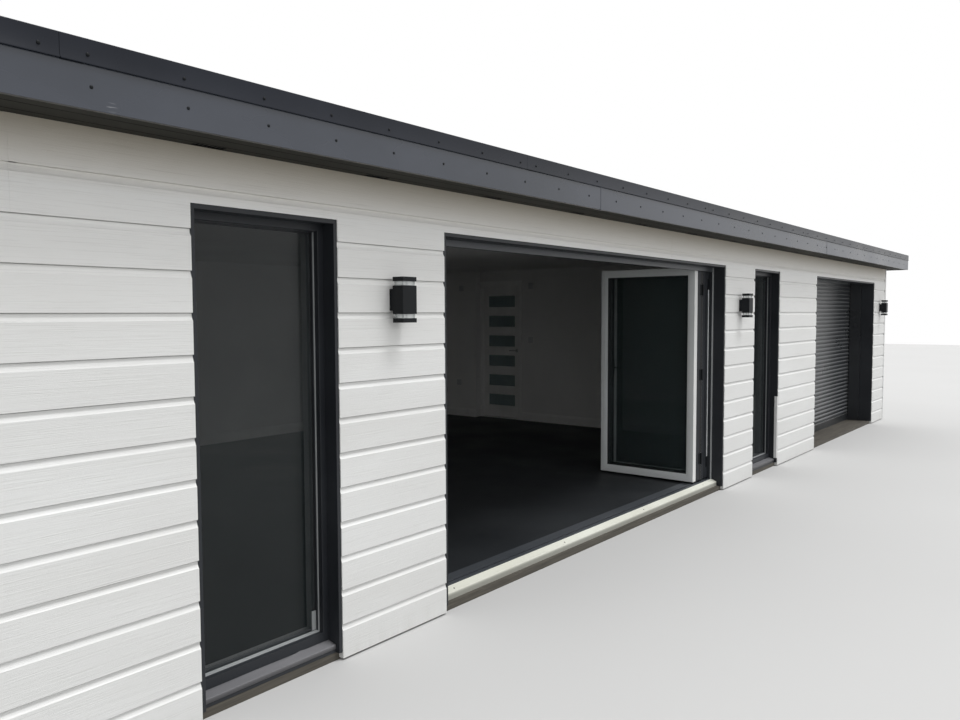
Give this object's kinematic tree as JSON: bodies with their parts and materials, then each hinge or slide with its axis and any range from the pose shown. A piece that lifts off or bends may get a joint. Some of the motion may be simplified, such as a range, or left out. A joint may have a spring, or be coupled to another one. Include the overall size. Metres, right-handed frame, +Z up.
{
  "type": "garden office pod",
  "caption": "Long flat-roofed timber garden room with white boarded walls, tall windows, folding glass doors open at one side, a roller shutter and a store behind a hinged inner door.",
  "frame": {"origin": "at ground level, midway between the two ends and midway between front and rear", "axes": "+X along the front to the right as seen from outside, -Y is the way the front faces, +Z up"},
  "size_m": [13.738, 6.558, 2.556],
  "materials": {
    "white_boards": "white embossed wood grain boards",
    "white_trim": "smooth white",
    "base": "plain timber base",
    "dark_floor": "dark rubber sheet",
    "plaster": "matt white emulsion",
    "roof_core": "boarded roof panel",
    "membrane": "matt dark membrane",
    "fascia": "satin anthracite board",
    "soffit": "matt dark board with grooves",
    "edge_trim": "satin anthracite sheet",
    "anthracite": "satin anthracite powder coat",
    "sill": "pale cream coat",
    "clear_glass": "clear double glazing",
    "hardware": "satin",
    "black_metal": "satin black",
    "shutter": "satin anthracite aluminium laths",
    "painted_joinery": "satin white paint",
    "clear_plastic": "clear ring"
  },
  "bodies": {
    "building": {"front_pier_left_end": "white_boards", "front_pier_lamp_left": "white_boards", "front_pier_lamp_right": "white_boards", "front_pier_plain": "white_boards", "front_pier_right_end": "white_boards", "front_header": "white_boards", "rear_wall": "white_boards", "end_walls": "white_boards", "corner_trims": "white_trim", "base_floor": "base", "room_floor": "dark_floor", "ceilings": "plaster", "partition_sides": "plaster", "partition_head": "plaster", "roof_panel": "roof_core", "roof_membrane": "membrane", "fascia_long": "fascia", "fascia_ends": "fascia", "soffit_long": "soffit", "soffit_ends": "soffit", "edge_trim_long": "edge_trim", "edge_trim_ends": "edge_trim", "reveal_jambs": "anthracite", "reveal_heads": "anthracite", "window_frames": "anthracite", "bifold_jambs": "anthracite", "bifold_head_track": "anthracite", "bifold_bottom_track": "anthracite", "bifold_leaf_frames": "anthracite", "bifold_sill": "sill", "window_panes": "clear_glass", "bifold_panes": "clear_glass", "inner_door_hinges": "hardware", "bifold_hardware": "black_metal", "lamp_bodies": "black_metal", "shutter_curtain": "shutter", "shutter_bottom_bar": "shutter", "shutter_guides": "shutter", "shutter_box": "shutter", "inner_door_frame": "painted_joinery", "skirting": "painted_joinery", "lamp_rings": "clear_plastic"},
    "inner_door": {"inner_door_leaf": "painted_joinery", "inner_door_panes": "clear_glass", "inner_door_furniture": "hardware"}
  },
  "joints": [
    {"name": "inner_door_hinge", "type": "hinge", "parent": "building", "child": "inner_door", "pos_m": [2.612, 1.7735, 1.0985], "axis": [0, 0, 1], "range_deg": [0, 90]}
  ]
}
